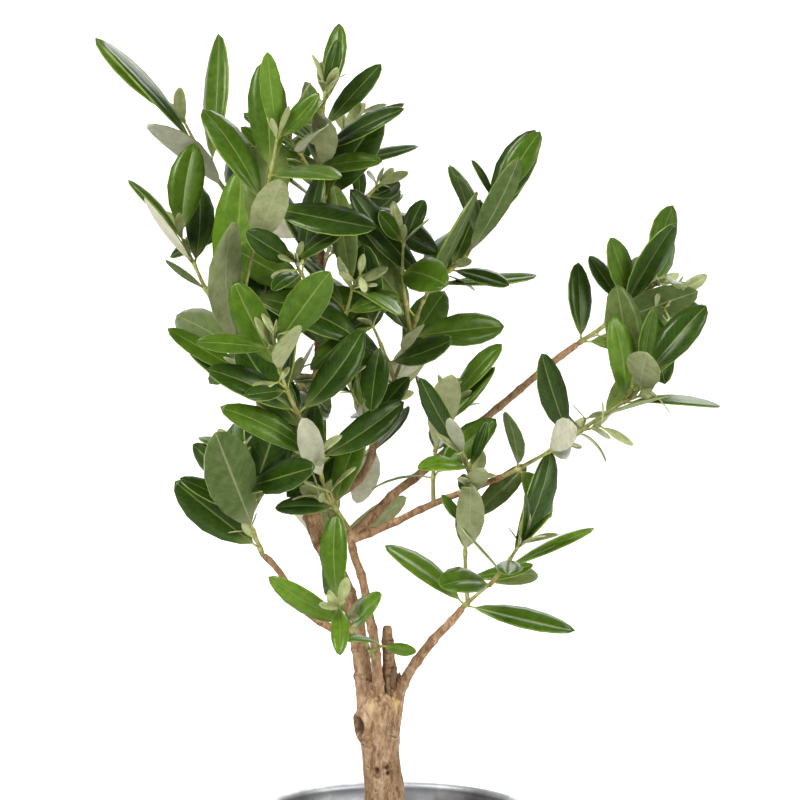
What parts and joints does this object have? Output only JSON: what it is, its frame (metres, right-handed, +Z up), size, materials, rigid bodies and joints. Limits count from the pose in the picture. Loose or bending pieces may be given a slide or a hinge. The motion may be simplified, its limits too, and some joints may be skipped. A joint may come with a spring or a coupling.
{
  "type": "potted olive tree",
  "caption": "Young olive tree with a short trunk, slender forked boughs and open sprays of narrow leaves, standing in a round sheet-metal pot of soil.",
  "frame": {"origin": "centre of the pot's flat underside", "axes": "+Z up along the pot's axis, +X to the right and -Y towards the viewer when the tree is seen from its front"},
  "size_m": [0.3276, 0.2119, 0.5471],
  "materials": {
    "pot_metal": "galvanised sheet, dull grey with a rolled rim",
    "soil": "crumbly dark potting soil",
    "trunk_bark": "rough tan bark with dark spots and fine grooves",
    "bough_bark": "fine reddish brown bark with pale specks",
    "foliage": "glossy dark green leaves with pale grey-green undersides on green twigs"
  },
  "bodies": {
    "root": {"pot": "pot_metal", "soil": "soil", "trunk": "trunk_bark", "leader": "bough_bark", "frontBough": "bough_bark", "stub": "bough_bark", "lowRightBough": "bough_bark", "leftLowBough": "bough_bark", "bigRightBough": "bough_bark", "midRightBough": "bough_bark", "upperLeader": "bough_bark", "innerBough": "bough_bark", "leftBough": "bough_bark", "backBough": "bough_bark", "sideBough": "bough_bark", "foliage_lowFront": "foliage", "foliage_lowLeft": "foliage", "foliage_upperLeft": "foliage", "foliage_topLeft": "foliage", "foliage_topCentre": "foliage", "foliage_topRight": "foliage", "foliage_centreRight": "foliage", "foliage_farRight": "foliage", "foliage_midRight": "foliage", "foliage_midSide": "foliage", "foliage_midFront": "foliage", "foliage_lowRight": "foliage", "foliage_frontLeft": "foliage", "foliage_innerLeft": "foliage", "foliage_innerRight": "foliage", "foliage_innerTop": "foliage", "foliage_innerFront": "foliage", "foliage_rearLeft": "foliage", "foliage_rearRight": "foliage", "foliage_rearTop": "foliage", "foliage_rearLow": "foliage"}
  },
  "joints": []
}
